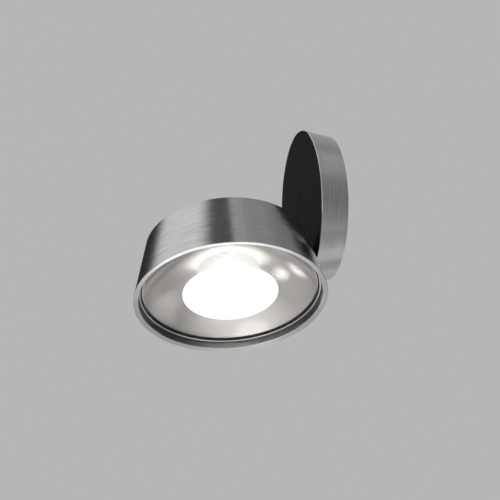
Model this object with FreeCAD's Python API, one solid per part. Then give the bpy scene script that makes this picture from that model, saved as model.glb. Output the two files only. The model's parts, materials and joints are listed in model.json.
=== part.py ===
import FreeCAD, Part
import math
import os

# Pivoting spotlight wall light, in millimetres.
#
# The wall is the plane y = 0, the lamp stands out along -Y, +Z is up, and the origin is the
# centre of the face that lies on the wall. "Depth" is the distance in front of the wall.
#
# Closed, the lamp is one truncated cone cut in two: a shallow base on the wall and a deep
# head in front of it. Every piece is drawn in that closed state, with the hinge straight
# below the axis. The turntable and the head are then turned about the base's axis, and the
# head is opened about the hinge pin, to the state in which the lamp is used.

# The closed cone
RIM_RADIUS = 55.0
HEAD_DEPTH = 36.9
BASE_DEPTH = 16.8
CLOSING_GAP = 0.6
TAPER_ANGLE = 12.1
EDGE_BREAK = 0.25

# The state in use
SWIVEL_IN_USE = 36.4
TILT_IN_USE = 87.0

# Clearances
RUNNING_CLEARANCE = 0.05
RUNNING_GAP = 0.1
SHADOW_GAP = 0.2
FITTING_CLEARANCE = 0.1
SWING_CLEARANCE = 0.45
NOTCH_CLEARANCE = 0.4
LOOSE_CLEARANCE = 0.5

# Base shell
BASE_WALL = 2.4
LIP_WIDTH = 1.1
WEB_THICKNESS = 2.2
CAST_CHAMFER = 1.2

# Wall plate
PLATE_THICKNESS = 1.5
TAB_HALF_WIDTH = 6.0
TAB_THICKNESS = 1.5
TAB_MARGIN = 1.5
WALL_SCREW_SPACING = 60.0
WALL_SCREW_HOLE_RADIUS = 2.25
GRUB_SCREW_RADIUS = 1.5
GRUB_SCREW_DEPTH = 5.0

# Cable entry and terminals
CABLE_RADIUS = 3.5
GROMMET_WALL = 2.0
GROMMET_FLANGE = 1.2
TERMINAL_WAYS = 3
TERMINAL_PITCH = 7.5
TERMINAL_DEPTH = 11.0
TERMINAL_END_WALL = 2.0
TERMINAL_HEADROOM = 1.4
TERMINAL_WIRE_RADIUS = 1.6
TERMINAL_SCREW_RADIUS = 1.5

# Driver board
BOARD_THICKNESS = 1.2
BOARD_STANDOFF = 2.0
BOARD_POST_RADIUS = 2.4
BOARD_START_ANGLE = 155.0
BOARD_SWEEP = 230.0
BOARD_POST_ANGLES = (190.0, 270.0, 350.0)
TRANSFORMER_WIDTH = 15.0
TRANSFORMER_ANGLE = 230.0
CHOKE_RADIUS = 4.6
CHOKE_ANGLE = 322.0
CAPACITOR_RADIUS = 3.6
CAPACITOR_ANGLES = (290.0, 305.0)

# Turntable
DISC_THICKNESS = 3.8
DISC_RUNNING_GAP = 0.3
SPINDLE_RADIUS = 5.0
SPINDLE_WALL = 1.8
SPINDLE_FLANGE_MARGIN = 0.95
SPINDLE_FLANGE_THICKNESS = 1.0
BUSH_WALL = 1.5
BUSH_FLANGE_WIDTH = 4.5
BUSH_FLANGE_THICKNESS = 0.5
STOP_RADIUS = 20.0
STOP_PIN_RADIUS = 1.0
STOP_PIN_REACH = 1.8
STOP_TIP_WIDTH = 1.0
STOP_ROOT_WIDTH = 6.0
WASHER_THICKNESS = 1.0
WASHER_WIDTH = 3.5
WAVE_WASHER_THICKNESS = 0.8
NUT_WALL = 2.0
NUT_THICKNESS = 3.4
SPINDLE_END = 0.6

# Hinge
HINGE_INSET = 8.35
HINGE_PIN_RADIUS = 2.5
LUG_RADIUS = 6.5
ARM_WIDTH = 14.0
ARM_THICKNESS = 2.0
ARM_GAP = 0.4
ARM_END_MARGIN = 0.9
ARM_SCREW_SHARES = (0.45, 0.8)
FLANGE_SCREW_ANGLES = (0.0, 90.0, 180.0)
WIRE_CHANNEL_WIDTH = 4.4
WIRE_CHANNEL_DEPTH = 1.0
CHEEK_THICKNESS = 2.5
CHEEK_RADIUS = 4.6
BRACKET_WEB = 2.4
BRACKET_FOOT_LENGTH = 9.0
BRACKET_FOOT_WIDTH = 7.0
FRICTION_WASHER_THICKNESS = 0.5
PIN_HEAD_RADIUS = 3.8
PIN_HEAD_THICKNESS = 1.4
PIN_NUT_RADIUS = 3.9
PIN_NUT_THICKNESS = 2.2
SPRING_WASHER_THICKNESS = 0.8

# Head shell
HEAD_WALL = 3.9
RIM_WIDTH = 3.1
BACK_LIP_WIDTH = 1.1
COVER_THICKNESS = 2.0
GLASS_RECESS = 4.8

# Heat sink
SINK_PLATE_DEPTH = 8.0
SINK_PLATE_THICKNESS = 3.0
SINK_EDGE_GAP = 0.1
FIN_THICKNESS = 1.4
FIN_PITCH = 5.6
FIN_EDGE_GAP = 1.2
FIN_COVER_GAP = 0.6
POST_RADIUS = 3.4
POST_INSET = 6.0
COVER_SCREW_ANGLES = (90.0, 205.0, 335.0)

# Light source and optics
LED_BOARD_RADIUS = 21.0
LED_BOARD_THICKNESS = 1.6
EMITTER_RADIUS = 8.0
EMITTER_THICKNESS = 0.7
HOLDER_THICKNESS = 2.2
HOLDER_SCREW_RADIUS = 15.0
REFLECTOR_THROAT_RADIUS = 18.0
REFLECTOR_THICKNESS = 0.6
REFLECTOR_SAG = 3.4
GLASS_THICKNESS = 2.0
FROST_RADIUS = 27.2
FROST_THICKNESS = 0.15
SEAL_WIDTH = 0.5
SEAL_FLOOR = 0.5
SEAL_LAP = 0.2
RETAINER_WIDTH = 1.3
RETAINER_CROWN = 0.4
RETAINER_PROUD = 0.3

# Screws
SCREW_RADIUS = 1.25
SCREW_HEAD_RADIUS = 2.5
SCREW_HEAD_THICKNESS = 1.0
SOCKET_RADIUS = 0.9
SOCKET_DEPTH = 0.7

V = FreeCAD.Vector
ORIGIN = V(0, 0, 0)
FORWARD = V(0, -1, 0)
SLOPE = math.tan(math.radians(TAPER_ANGLE))
LAMP_DEPTH = BASE_DEPTH + CLOSING_GAP + HEAD_DEPTH
FAR = 2 * RIM_RADIUS


def cone(depth):
    """Outside radius of the closed lamp at a depth."""
    return RIM_RADIUS - (LAMP_DEPTH - depth) * SLOPE


def rim_face(radius):
    """Depth of the rim's face, which dips inwards at the slope of the cone."""
    return LAMP_DEPTH - (RIM_RADIUS - radius) * SLOPE


def chord(radius, half_width):
    """Distance from the axis to a chord with that half width."""
    return math.sqrt(radius ** 2 - half_width ** 2)


def hinge_height():
    """Height of the hinge pin over the base's front.

    In use the side of the head leans over the front edge of the base. The height keeps the
    swing clearance between the two beside the notch, where both have curved away a little.
    """
    lean = math.radians(TAPER_ANGLE + TILT_IN_USE)
    edge = cone(BASE_DEPTH)
    curved_away = edge - chord(edge, NOTCH_HALF)
    across = HINGE_INSET * math.cos(math.radians(TAPER_ANGLE))
    reach = SWING_CLEARANCE - curved_away + across - HINGE_INSET * math.cos(lean)
    return reach / (math.sin(lean) - SLOPE * math.cos(lean))


# Depths of the base and the turntable, from the front face back to the wall
DISC_BACK = BASE_DEPTH - DISC_THICKNESS
ARM_BACK = BASE_DEPTH - ARM_THICKNESS
FLANGE_FRONT = DISC_BACK + SPINDLE_FLANGE_THICKNESS
BUSH_FRONT = DISC_BACK - RUNNING_GAP
WEB_FRONT = BUSH_FRONT - BUSH_FLANGE_THICKNESS
WEB_BACK = WEB_FRONT - WEB_THICKNESS
STOP_FRONT = WEB_BACK - RUNNING_GAP
STOP_BACK = STOP_FRONT - WASHER_THICKNESS
WAVE_BACK = STOP_BACK - WAVE_WASHER_THICKNESS
NUT_BACK = WAVE_BACK - NUT_THICKNESS
BOARD_FRONT = WEB_BACK - BOARD_STANDOFF
BOARD_BACK = BOARD_FRONT - BOARD_THICKNESS

# Radii of the base and the turntable
DISC_INSET = LIP_WIDTH + DISC_RUNNING_GAP
SHELL_BORE = cone(0) - BASE_WALL
TAB_FACE = chord(SHELL_BORE, TAB_HALF_WIDTH) - LOOSE_CLEARANCE
TAB_INSIDE = TAB_FACE - TAB_THICKNESS
TAB_HEIGHT = GRUB_SCREW_DEPTH + GRUB_SCREW_RADIUS + TAB_MARGIN
FLANGE_SCREW_RADIUS = ARM_WIDTH / 2 + ARM_GAP + SCREW_RADIUS + FITTING_CLEARANCE
SPINDLE_FLANGE_RADIUS = FLANGE_SCREW_RADIUS + SCREW_HEAD_RADIUS + SPINDLE_FLANGE_MARGIN
NUT_RADIUS = (SPINDLE_RADIUS + NUT_WALL) / math.cos(math.pi / 6)
STOP_REACH = STOP_RADIUS + STOP_PIN_RADIUS + RUNNING_GAP
BOARD_INNER = STOP_REACH + 2 * LOOSE_CLEARANCE
BOARD_OUTER = TAB_INSIDE - LOOSE_CLEARANCE
BOARD_MIDDLE = (BOARD_INNER + BOARD_OUTER) / 2
GROMMET_RADIUS = CABLE_RADIUS + GROMMET_WALL
TERMINAL_HALF_LENGTH = (TERMINAL_WAYS * TERMINAL_PITCH + TERMINAL_END_WALL) / 2
TERMINAL_TOP = min(TAB_INSIDE - 2 * LOOSE_CLEARANCE,
                   chord(SHELL_BORE - LOOSE_CLEARANCE, TERMINAL_HALF_LENGTH))
TERMINAL_MIDDLE = TERMINAL_TOP - TERMINAL_DEPTH / 2
TERMINAL_BOTTOM = TERMINAL_TOP - TERMINAL_DEPTH
GROMMET_HEIGHT = TERMINAL_BOTTOM - LOOSE_CLEARANCE - GROMMET_RADIUS - GROMMET_FLANGE
TERMINAL_FRONT = WEB_BACK - TERMINAL_HEADROOM

# The hinge, below the axis
ARM_HALF = ARM_WIDTH / 2
WASHER_START = ARM_HALF + RUNNING_CLEARANCE
CHEEK_START = WASHER_START + FRICTION_WASHER_THICKNESS
CHEEK_END = CHEEK_START + CHEEK_THICKNESS
NOTCH_HALF = CHEEK_START
HINGE_DEPTH = BASE_DEPTH + hinge_height()
HINGE_OFFSET = cone(HINGE_DEPTH) - HINGE_INSET
SWING_RADIUS = HINGE_DEPTH - BASE_DEPTH - SWING_CLEARANCE
NOTCH_RADIUS = LUG_RADIUS + NOTCH_CLEARANCE
ARM_END = chord(cone(ARM_BACK) - DISC_INSET - ARM_END_MARGIN, ARM_HALF)
BRACKET_FRONT = NOTCH_RADIUS - HINGE_OFFSET
BRACKET_BACK = BRACKET_FRONT + BRACKET_WEB

# Depths and radii of the head, from its back forward
HEAD_BACK = BASE_DEPTH + CLOSING_GAP
COVER_FRONT = HEAD_BACK + COVER_THICKNESS
SINK_BACK = HEAD_BACK + SINK_PLATE_DEPTH
SINK_FRONT = SINK_BACK + SINK_PLATE_THICKNESS
LED_FRONT = SINK_FRONT + LED_BOARD_THICKNESS
HOLDER_FRONT = LED_FRONT + HOLDER_THICKNESS
RETAINER_FRONT = LAMP_DEPTH - GLASS_RECESS
GLASS_FRONT = RETAINER_FRONT - RETAINER_PROUD
GLASS_BACK = GLASS_FRONT - GLASS_THICKNESS
SEAL_BACK = GLASS_BACK - SEAL_FLOOR
LEDGE = SEAL_BACK - REFLECTOR_THICKNESS
LEDGE_BORE = cone(LEDGE) - HEAD_WALL
BORE_RADIUS = RIM_RADIUS - RIM_WIDTH
RETAINER_BORE = BORE_RADIUS - RETAINER_WIDTH
GLASS_RADIUS = RETAINER_BORE - SEAL_WIDTH
SEAL_BORE = GLASS_RADIUS - SEAL_LAP
FOOT_BACK = SINK_BACK - BRACKET_WEB
FOOT_END = CHEEK_END + BRACKET_FOOT_LENGTH
FOOT_BOTTOM = PIN_NUT_RADIUS + NOTCH_CLEARANCE - HINGE_OFFSET
FOOT_TOP = FOOT_BOTTOM + BRACKET_FOOT_WIDTH


def turned(outline, start=0.0, sweep=360.0):
    """Solid turned about the lamp's axis from (radius, depth) points."""
    points = [V(radius, -depth, 0) for radius, depth in outline]
    face = Part.Face(Part.makePolygon(points + points[:1]))
    face.rotate(ORIGIN, FORWARD, start)
    return face.revolve(ORIGIN, FORWARD, sweep)


def ring(inner, outer, back, front):
    """Flat ring about the lamp's axis."""
    return turned([(inner, back), (outer, back), (outer, front), (inner, front)])


def rod(x, z, radius, back, front):
    """Round rod along the lamp's axis."""
    return Part.makeCylinder(radius, front - back, V(x, -back, z), FORWARD)


def block(left, right, bottom, top, back, front):
    """Block with its sides along the axes."""
    return Part.makeBox(right - left, front - back, top - bottom, V(left, -front, bottom))


def pin_rod(radius, left, right):
    """Round rod along the hinge pin's line."""
    start = V(left, -HINGE_DEPTH, -HINGE_OFFSET)
    return Part.makeCylinder(radius, right - left, start, V(1, 0, 0))


def prism(sides, radius, x, z, back, front):
    """Regular prism along the lamp's axis."""
    turns = [2 * math.pi * step / sides for step in range(sides + 1)]
    points = [V(x + radius * math.cos(t), -back, z + radius * math.sin(t)) for t in turns]
    return Part.Face(Part.makePolygon(points)).extrude(V(0, back - front, 0))


def polar(radius, angle):
    """Place (x, z) on a circle about the axis, anticlockwise from +X seen from the front."""
    turn = math.radians(angle)
    return radius * math.cos(turn), radius * math.sin(turn)


def around(shape, angle):
    """Copy of a shape turned about the lamp's axis."""
    copy = shape.copy()
    copy.rotate(ORIGIN, FORWARD, angle)
    return copy


def countersunk_screw(x, z, seat, front, gap=0.0):
    """Countersunk screw with its head flush at the seat, going forward from the wall."""
    head = Part.makeCone(SCREW_HEAD_RADIUS + gap, SCREW_RADIUS + gap,
                         SCREW_HEAD_THICKNESS + gap, V(x, -seat, z), FORWARD)
    shank = rod(x, z, SCREW_RADIUS + gap, seat, front)
    return head.fuse(shank).removeSplitter()


def socket_screw(x, z, seat, front):
    """Countersunk screw with a hexagon socket."""
    socket = prism(6, SOCKET_RADIUS, x, z, seat, seat + SOCKET_DEPTH)
    return countersunk_screw(x, z, seat, front).cut(socket)


def pan_screw(x, z, seat, tip):
    """Pan head screw whose head lies on the seat, away from its tip."""
    back, front = sorted((seat, tip))
    away = math.copysign(SCREW_HEAD_THICKNESS, seat - tip)
    head_back, head_front = sorted((seat, seat + away))
    head = rod(x, z, SCREW_HEAD_RADIUS, head_back, head_front)
    return head.fuse(rod(x, z, SCREW_RADIUS, back, front)).removeSplitter()


def cut_all(shape, tools):
    for tool in tools:
        shape = shape.cut(tool)
    return shape


def fuse_all(shape, others):
    for other in others:
        shape = shape.fuse(other)
    return shape.removeSplitter()


# Base: what stays on the wall

def board_posts():
    return [polar(BOARD_MIDDLE, angle) for angle in BOARD_POST_ANGLES]


def grub_screws():
    """Two set screws, at the top and the bottom of the base shell."""
    outer = cone(GRUB_SCREW_DEPTH) - EDGE_BREAK
    place = V(0, -GRUB_SCREW_DEPTH, TAB_INSIDE)
    screw = Part.makeCylinder(GRUB_SCREW_RADIUS, outer - TAB_INSIDE, place, V(0, 0, 1))
    socket = Part.makeCylinder(SOCKET_RADIUS, SOCKET_DEPTH,
                               V(0, -GRUB_SCREW_DEPTH, outer - SOCKET_DEPTH), V(0, 0, 1))
    screw = screw.cut(socket)
    return [screw, around(screw, 180.0)]


def grub_holes():
    place = V(0, -GRUB_SCREW_DEPTH, TAB_INSIDE - TAB_THICKNESS)
    hole = Part.makeCylinder(GRUB_SCREW_RADIUS, FAR, place, V(0, 0, 1))
    return [hole, around(hole, 180.0)]


def wall_plate():
    """Steel plate screwed to the wall, with a bent tab at the top and the bottom."""
    plate = rod(0, 0, SHELL_BORE - LOOSE_CLEARANCE, 0, PLATE_THICKNESS)
    tab = block(-TAB_HALF_WIDTH, TAB_HALF_WIDTH, TAB_INSIDE, TAB_FACE, 0, TAB_HEIGHT)
    plate = fuse_all(plate, [tab, around(tab, 180.0)])
    half = WALL_SCREW_SPACING / 2
    holes = [rod(x, 0, WALL_SCREW_HOLE_RADIUS, 0, PLATE_THICKNESS) for x in (-half, half)]
    entry = rod(0, GROMMET_HEIGHT, GROMMET_RADIUS, 0, PLATE_THICKNESS)
    return cut_all(plate, holes + [entry] + grub_holes())


def cable_grommet():
    """Rubber bush in the plate's cable entry, with its flange on the inner side."""
    flange = GROMMET_RADIUS + GROMMET_FLANGE
    body = rod(0, GROMMET_HEIGHT, GROMMET_RADIUS, 0, PLATE_THICKNESS)
    collar = rod(0, GROMMET_HEIGHT, flange, PLATE_THICKNESS, PLATE_THICKNESS + GROMMET_FLANGE)
    bore = rod(0, GROMMET_HEIGHT, CABLE_RADIUS, 0, PLATE_THICKNESS + GROMMET_FLANGE)
    return body.fuse(collar).removeSplitter().cut(bore)


def terminal_places():
    middle = (TERMINAL_WAYS - 1) / 2
    return [(way - middle) * TERMINAL_PITCH for way in range(TERMINAL_WAYS)]


def terminal_block():
    """Plastic block with a wire entry and a screw well for each way."""
    body = block(-TERMINAL_HALF_LENGTH, TERMINAL_HALF_LENGTH, TERMINAL_BOTTOM, TERMINAL_TOP,
                 PLATE_THICKNESS, TERMINAL_FRONT)
    cuts = []
    for x in terminal_places():
        depth = PLATE_THICKNESS + 2 * TERMINAL_WIRE_RADIUS
        entry = Part.makeCylinder(TERMINAL_WIRE_RADIUS, TERMINAL_DEPTH,
                                  V(x, -depth, TERMINAL_BOTTOM), V(0, 0, 1))
        well = rod(x, TERMINAL_MIDDLE, TERMINAL_SCREW_RADIUS + FITTING_CLEARANCE, depth,
                   TERMINAL_FRONT)
        cuts += [entry, well]
    return cut_all(body, cuts)


def terminal_screws():
    """Clamping screws, one in each well of the terminal block."""
    back = PLATE_THICKNESS + 3 * TERMINAL_WIRE_RADIUS
    front = TERMINAL_FRONT - FITTING_CLEARANCE
    screws = []
    for x in terminal_places():
        screw = rod(x, TERMINAL_MIDDLE, TERMINAL_SCREW_RADIUS, back, front)
        slot = block(x - TERMINAL_SCREW_RADIUS, x + TERMINAL_SCREW_RADIUS,
                     TERMINAL_MIDDLE - SOCKET_DEPTH / 2, TERMINAL_MIDDLE + SOCKET_DEPTH / 2,
                     front - SOCKET_DEPTH, front)
        screws.append(screw.cut(slot))
    return screws


def base_shell():
    """Cast ring with a web, a recess for the front disc and a thin lip around it."""
    shell = turned([
        (SHELL_BORE, 0),
        (cone(0) - EDGE_BREAK, 0),
        (cone(EDGE_BREAK), EDGE_BREAK),
        (cone(BASE_DEPTH - EDGE_BREAK), BASE_DEPTH - EDGE_BREAK),
        (cone(BASE_DEPTH) - EDGE_BREAK, BASE_DEPTH),
        (cone(BASE_DEPTH) - LIP_WIDTH, BASE_DEPTH),
        (cone(WEB_FRONT) - LIP_WIDTH, WEB_FRONT),
        (SPINDLE_RADIUS + RUNNING_CLEARANCE + BUSH_WALL, WEB_FRONT),
        (SPINDLE_RADIUS + RUNNING_CLEARANCE + BUSH_WALL, WEB_BACK),
        (cone(WEB_BACK) - BASE_WALL - CAST_CHAMFER, WEB_BACK),
        (cone(WEB_BACK - CAST_CHAMFER) - BASE_WALL, WEB_BACK - CAST_CHAMFER),
    ])
    posts = [rod(x, z, BOARD_POST_RADIUS, BOARD_FRONT, WEB_BACK) for x, z in board_posts()]
    shell = fuse_all(shell, posts)
    return cut_all(shell, grub_holes() + driver_screws() + [stop_pin()])


def spindle_bush():
    """Flanged bearing bush pressed into the web."""
    bore = SPINDLE_RADIUS + RUNNING_CLEARANCE
    return turned([
        (bore, WEB_BACK),
        (bore + BUSH_WALL, WEB_BACK),
        (bore + BUSH_WALL, WEB_FRONT),
        (bore + BUSH_WALL + BUSH_FLANGE_WIDTH, WEB_FRONT),
        (bore + BUSH_WALL + BUSH_FLANGE_WIDTH, BUSH_FRONT),
        (bore, BUSH_FRONT),
    ])


def stop_pin():
    """Pin in the web that the stop washer's tab meets at each end of the swivel."""
    front = WEB_FRONT - WEB_THICKNESS / 4
    return rod(0, STOP_RADIUS, STOP_PIN_RADIUS, WEB_BACK - STOP_PIN_REACH, front)


def driver_board():
    """Curved circuit board round the spindle, open at the top for the terminals."""
    outline = [(BOARD_INNER, BOARD_BACK), (BOARD_OUTER, BOARD_BACK),
               (BOARD_OUTER, BOARD_FRONT), (BOARD_INNER, BOARD_FRONT)]
    return cut_all(turned(outline, BOARD_START_ANGLE, BOARD_SWEEP), driver_screws())


def driver_screws():
    tip = WEB_BACK + WEB_THICKNESS / 2
    return [pan_screw(x, z, BOARD_BACK, tip) for x, z in board_posts()]


def driver_components():
    """Transformer, choke and capacitors on the back of the driver board."""
    back = PLATE_THICKNESS + 2 * LOOSE_CLEARANCE
    half = (BOARD_OUTER - BOARD_INNER) / 2 - LOOSE_CLEARANCE
    core = block(BOARD_MIDDLE - half, BOARD_MIDDLE + half, -TRANSFORMER_WIDTH / 2,
                 TRANSFORMER_WIDTH / 2, back, BOARD_BACK)
    middle = (back + BOARD_BACK) / 2
    window = block(BOARD_MIDDLE - half, BOARD_MIDDLE + half, -TRANSFORMER_WIDTH / 4,
                   TRANSFORMER_WIDTH / 4, back, middle)
    parts = [around(core.cut(window), TRANSFORMER_ANGLE)]
    x, z = polar(BOARD_MIDDLE, CHOKE_ANGLE)
    parts.append(rod(x, z, CHOKE_RADIUS, back, BOARD_BACK))
    for angle in CAPACITOR_ANGLES:
        x, z = polar(BOARD_MIDDLE, angle)
        parts.append(rod(x, z, CAPACITOR_RADIUS, back, BOARD_BACK))
    return parts


# Turntable: the front disc, its spindle and the hinge arm

def arm_outline(gap):
    """Flat outline of the inlaid arm: round about the axis, straight down to its end."""
    radius = ARM_HALF + gap
    end = ARM_END + gap
    top = Part.Arc(V(-radius, 0, 0), V(0, 0, radius), V(radius, 0, 0)).toShape()
    sides = Part.makePolygon([V(radius, 0, 0), V(radius, 0, -end), V(-radius, 0, -end),
                              V(-radius, 0, 0)])
    return Part.Face(Part.Wire([top] + sides.Edges))


def arm_plate(gap, back, front):
    face = arm_outline(gap)
    face.translate(V(0, -back, 0))
    return face.extrude(V(0, back - front, 0))


def arm_screws():
    tip = BASE_DEPTH - ARM_THICKNESS / 4
    return [countersunk_screw(0, -share * ARM_END, DISC_BACK, tip) for share in ARM_SCREW_SHARES]


def flange_screw_places():
    return [polar(FLANGE_SCREW_RADIUS, angle) for angle in FLANGE_SCREW_ANGLES]


def flange_screws():
    tip = BASE_DEPTH - ARM_THICKNESS / 2
    return [countersunk_screw(x, z, DISC_BACK, tip) for x, z in flange_screw_places()]


def front_disc():
    """Black disc that fills the base's front, slotted for the hinge arm."""
    disc = turned([
        (0, DISC_BACK),
        (cone(DISC_BACK) - DISC_INSET, DISC_BACK),
        (cone(BASE_DEPTH - EDGE_BREAK) - DISC_INSET, BASE_DEPTH - EDGE_BREAK),
        (cone(BASE_DEPTH) - DISC_INSET - EDGE_BREAK, BASE_DEPTH),
        (0, BASE_DEPTH),
    ])
    slot = arm_plate(ARM_GAP, ARM_BACK, BASE_DEPTH)
    seat = rod(0, 0, SPINDLE_FLANGE_RADIUS + FITTING_CLEARANCE, DISC_BACK, FLANGE_FRONT)
    wire_hole = rod(0, 0, SPINDLE_RADIUS - SPINDLE_WALL, DISC_BACK, BASE_DEPTH)
    return cut_all(disc, [slot, seat, wire_hole] + arm_screws() + flange_screws())


def spindle():
    """Hollow spindle with a flange let into the back of the disc; the wires pass through."""
    bore = SPINDLE_RADIUS - SPINDLE_WALL
    tube = turned([
        (bore, NUT_BACK - SPINDLE_END),
        (SPINDLE_RADIUS, NUT_BACK - SPINDLE_END),
        (SPINDLE_RADIUS, DISC_BACK),
        (SPINDLE_FLANGE_RADIUS, DISC_BACK),
        (SPINDLE_FLANGE_RADIUS, FLANGE_FRONT),
        (bore, FLANGE_FRONT),
    ])
    return cut_all(tube, flange_screws())


def lug_profile():
    """Side view of the lug, from the arm's end to the round eye that the far side touches."""
    centre = V(0, -HINGE_DEPTH, -HINGE_OFFSET)
    foot = V(0, -BASE_DEPTH, -ARM_END)
    to_foot = foot - centre
    bearing = math.atan2(-to_foot.y, to_foot.z)
    opening = math.acos(LUG_RADIUS / to_foot.Length)
    angle = bearing + opening
    touch = centre + V(0, -math.sin(angle), math.cos(angle)) * LUG_RADIUS
    inner = centre + V(0, 0, LUG_RADIUS)
    front = centre + V(0, -LUG_RADIUS, 0)
    eye = Part.Arc(inner, front, touch).toShape()
    lines = Part.makePolygon([touch, foot, V(0, -ARM_BACK, foot.z),
                              V(0, -ARM_BACK, inner.z), inner])
    return Part.Face(Part.Wire([eye] + lines.Edges))


def hinge_arm():
    """Steel arm let into the disc, with the hinge lug standing up at its lower end."""
    lug = lug_profile()
    lug.translate(V(-ARM_HALF, 0, 0))
    lug = lug.extrude(V(ARM_WIDTH, 0, 0))
    arm = arm_plate(0.0, ARM_BACK, BASE_DEPTH).fuse(lug).removeSplitter()
    half = WIRE_CHANNEL_WIDTH / 2
    inner = LUG_RADIUS - HINGE_OFFSET
    channel = block(-half, half, inner - WIRE_CHANNEL_DEPTH, 0,
                    ARM_BACK, ARM_BACK + WIRE_CHANNEL_DEPTH)
    groove = block(-half, half, inner - WIRE_CHANNEL_DEPTH, inner, ARM_BACK, HINGE_DEPTH)
    bore = pin_rod(HINGE_PIN_RADIUS + RUNNING_CLEARANCE, -ARM_HALF, ARM_HALF)
    return cut_all(arm, [channel, groove, bore] + arm_screws())


def stop_washer():
    """Washer keyed to the spindle, with the pointed tab that stops the swivel."""
    washer = ring(SPINDLE_RADIUS, SPINDLE_RADIUS + WASHER_WIDTH, STOP_BACK, STOP_FRONT)
    root = STOP_ROOT_WIDTH / 2
    tip = STOP_TIP_WIDTH / 2
    start = chord(SPINDLE_RADIUS + WASHER_WIDTH, root)
    points = [(-root, start), (-tip, STOP_REACH), (tip, STOP_REACH), (root, start)]
    corners = [V(x, -STOP_BACK, -z) for x, z in points + points[:1]]
    tab = Part.Face(Part.makePolygon(corners)).extrude(V(0, STOP_BACK - STOP_FRONT, 0))
    return washer.fuse(tab).removeSplitter()


def wave_washer():
    inner = SPINDLE_RADIUS + FITTING_CLEARANCE
    return ring(inner, SPINDLE_RADIUS + WASHER_WIDTH, WAVE_BACK, STOP_BACK)


def spindle_nut():
    nut = prism(6, NUT_RADIUS, 0, 0, NUT_BACK, WAVE_BACK)
    return nut.cut(rod(0, 0, SPINDLE_RADIUS, NUT_BACK, WAVE_BACK))


# Head: what swings on the hinge pin

def notch(half_width):
    """Room in the head for the hinge lug, through the whole swing."""
    eye = pin_rod(NOTCH_RADIUS, -half_width, half_width)
    behind = block(-half_width, half_width, -FAR, NOTCH_RADIUS - HINGE_OFFSET, 0, HINGE_DEPTH)
    below = block(-half_width, half_width, -FAR, -HINGE_OFFSET, 0, HINGE_DEPTH + NOTCH_RADIUS)
    return eye.fuse([behind, below]).removeSplitter()


def swing_relief():
    """What the head's back edge has to lose beside the hinge to swing past the disc."""
    corner = block(-HINGE_OFFSET, HINGE_OFFSET, -FAR, -HINGE_OFFSET, 0, HINGE_DEPTH)
    return corner.cut(pin_rod(SWING_RADIUS, -HINGE_OFFSET, HINGE_OFFSET))


def hinge_pocket():
    """Room inside the shell's wall for the cheeks and the ends of the hinge pin."""
    cheeks = CHEEK_END + NOTCH_CLEARANCE
    ends = CHEEK_END + SPRING_WASHER_THICKNESS + PIN_NUT_THICKNESS + NOTCH_CLEARANCE
    wide = pin_rod(CHEEK_RADIUS + NOTCH_CLEARANCE, -cheeks, cheeks)
    narrow = pin_rod(PIN_NUT_RADIUS + NOTCH_CLEARANCE, -ends, ends)
    return wide.fuse(narrow)


def head_shell():
    """Turned conical shell: a wide rim, a bore with a ledge, and a rebate at the back."""
    shell = turned([
        (cone(HEAD_BACK) - BACK_LIP_WIDTH, HEAD_BACK),
        (cone(HEAD_BACK) - EDGE_BREAK, HEAD_BACK),
        (cone(HEAD_BACK + EDGE_BREAK), HEAD_BACK + EDGE_BREAK),
        (cone(LAMP_DEPTH - EDGE_BREAK), LAMP_DEPTH - EDGE_BREAK),
        (RIM_RADIUS - EDGE_BREAK, rim_face(RIM_RADIUS - EDGE_BREAK)),
        (BORE_RADIUS + EDGE_BREAK, rim_face(BORE_RADIUS + EDGE_BREAK)),
        (BORE_RADIUS, rim_face(BORE_RADIUS) - EDGE_BREAK),
        (BORE_RADIUS, LEDGE),
        (LEDGE_BORE, LEDGE),
        (cone(COVER_FRONT) - HEAD_WALL, COVER_FRONT),
        (cone(COVER_FRONT) - BACK_LIP_WIDTH, COVER_FRONT),
    ])
    return cut_all(shell, [notch(NOTCH_HALF), swing_relief(), hinge_pocket()])


def post_places():
    radius = cone(SINK_BACK) - HEAD_WALL - POST_INSET
    return [polar(radius, angle) for angle in COVER_SCREW_ANGLES]


def cover_screws():
    tip = (SINK_BACK + SINK_FRONT) / 2
    return [socket_screw(x, z, HEAD_BACK, tip) for x, z in post_places()]


def cover_screw_holes(gap):
    tip = (SINK_BACK + SINK_FRONT) / 2
    return [countersunk_screw(x, z, HEAD_BACK, tip, gap) for x, z in post_places()]


def back_cover():
    """Black cover let into the back of the head, notched for the hinge lug."""
    inset = BACK_LIP_WIDTH + SHADOW_GAP
    cover = turned([
        (0, HEAD_BACK),
        (cone(HEAD_BACK) - inset, HEAD_BACK),
        (cone(COVER_FRONT) - inset, COVER_FRONT),
        (0, COVER_FRONT),
    ])
    tools = [notch(NOTCH_HALF), swing_relief()] + cover_screw_holes(FITTING_CLEARANCE)
    return cut_all(cover, tools)


def fin_places():
    half = int((cone(SINK_BACK) - HEAD_WALL - FIN_EDGE_GAP) / FIN_PITCH)
    return [step * FIN_PITCH for step in range(-half, half + 1)]


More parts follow.
